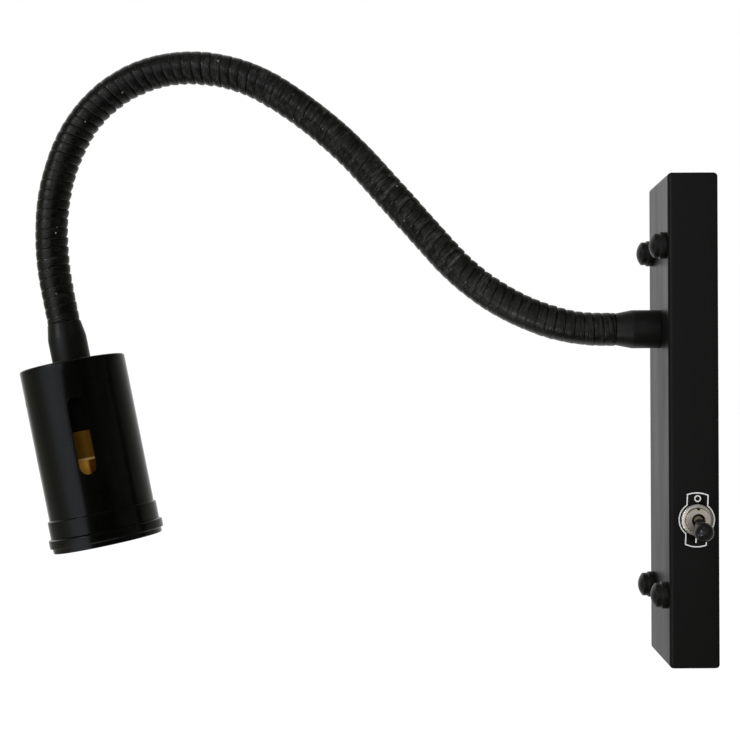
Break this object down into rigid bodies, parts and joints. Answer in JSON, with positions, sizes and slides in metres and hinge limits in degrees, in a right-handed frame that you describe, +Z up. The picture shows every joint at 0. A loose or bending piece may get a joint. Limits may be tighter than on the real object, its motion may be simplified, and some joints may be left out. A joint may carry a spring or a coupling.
{
  "type": "wall lamp",
  "caption": "Wall lamp with a narrow steel box, a ribbed gooseneck, a cylindrical lamp cup with an obround slot and a toggle switch on the side.",
  "frame": {"origin": "centre of the box's face on the wall", "axes": "+X points into the wall, +Z is up, and the switch is on the side that faces -Y; the lamp reaches out along -X"},
  "size_m": [0.359, 0.0833, 0.3189],
  "materials": {
    "black_powder_coat": "satin",
    "zinc_steel": "satin",
    "black_satin_metal": "satin",
    "white_plastic": "matte",
    "dark_plastic": "matte",
    "nickel": "satin",
    "black_gloss_plate": "gloss",
    "brass": "satin",
    "black_rubber": "matte",
    "black_phenolic": "satin",
    "porcelain": "gloss",
    "core_steel": "satin",
    "black_gloss_plastic": "gloss"
  },
  "bodies": {
    "base": {"housing_box": "black_powder_coat", "wall_bracket": "zinc_steel", "bracket_studs": "zinc_steel", "cap_nuts": "black_satin_metal", "terminal_block": "white_plastic", "base_ferrule": "black_satin_metal", "base_nut": "zinc_steel", "switch_body": "dark_plastic", "switch_bushing": "nickel", "switch_pivot_pin": "zinc_steel", "switch_ring_nut": "nickel", "switch_back_nut": "nickel", "switch_legend_plate": "black_gloss_plate", "switch_terminals": "brass", "neck_sleeve": "black_rubber", "neck_core_1": "core_steel"},
    "neck_2": {"neck_core_2": "core_steel"},
    "neck_3": {"neck_core_3": "core_steel"},
    "neck_4": {"neck_core_4": "core_steel"},
    "neck_5": {"neck_core_5": "core_steel"},
    "neck_6": {"neck_core_6": "core_steel"},
    "neck_7": {"neck_core_7": "core_steel"},
    "neck_8": {"neck_core_8": "core_steel"},
    "lamp_head": {"neck_core_9": "core_steel", "head_ferrule": "black_satin_metal", "head_nut": "zinc_steel", "lamp_cup": "black_satin_metal", "mouth_ring": "black_satin_metal", "holder_cap": "black_phenolic", "holder_shell": "brass", "holder_core": "porcelain", "lamp_thread_shell": "brass", "centre_contact": "brass", "side_contact": "brass"},
    "switch_lever_body": {"switch_lever": "brass", "switch_lever_cap": "black_gloss_plastic"}
  },
  "joints": [
    {"name": "neck_bend_1_sideways", "type": "hinge", "parent": "base", "child": "neck_2", "pos_m": [-0.09602, 0, 0.05691], "axis": [-0.4122, 0, -0.9111], "range_deg": [-35, 35], "deforming": ["neck_sleeve"]},
    {"name": "neck_bend_2_up_down", "type": "hinge", "parent": "neck_2", "child": "neck_3", "pos_m": [-0.13585, 0, 0.08567], "axis": [0, 1, 0], "range_deg": [-35, 35], "deforming": ["neck_sleeve"]},
    {"name": "neck_bend_3_sideways", "type": "hinge", "parent": "neck_3", "child": "neck_4", "pos_m": [-0.16876, 0, 0.12258], "axis": [-0.7466, 0, -0.6652], "range_deg": [-35, 35], "deforming": ["neck_sleeve"]},
    {"name": "neck_bend_4_up_down", "type": "hinge", "parent": "neck_4", "child": "neck_5", "pos_m": [-0.204, 0, 0.15718], "axis": [0, 1, 0], "range_deg": [-35, 35], "deforming": ["neck_sleeve"]},
    {"name": "neck_bend_5_sideways", "type": "hinge", "parent": "neck_5", "child": "neck_6", "pos_m": [-0.24646, 0, 0.18194], "axis": [-0.2861, 0, -0.9582], "range_deg": [-35, 35], "deforming": ["neck_sleeve"]},
    {"name": "neck_bend_6_up_down", "type": "hinge", "parent": "neck_6", "child": "neck_7", "pos_m": [-0.29503, 0, 0.18096], "axis": [0, 1, 0], "range_deg": [-8, 35], "deforming": ["neck_sleeve"]},
    {"name": "neck_bend_7_sideways", "type": "hinge", "parent": "neck_7", "child": "neck_8", "pos_m": [-0.33114, 0, 0.14878], "axis": [-0.886, 0, 0.4636], "range_deg": [-35, 35], "deforming": ["neck_sleeve"]},
    {"name": "neck_bend_8_up_down", "type": "hinge", "parent": "neck_8", "child": "lamp_head", "pos_m": [-0.34297, 0, 0.10123], "axis": [0, 1, 0], "range_deg": [-35, 35], "deforming": ["neck_sleeve"]},
    {"name": "switch_toggle", "type": "hinge", "parent": "base", "child": "switch_lever_body", "pos_m": [-0.0114, -0.0327, -0.0499], "axis": [-1, 0, 0], "range_deg": [0, 32]}
  ]
}
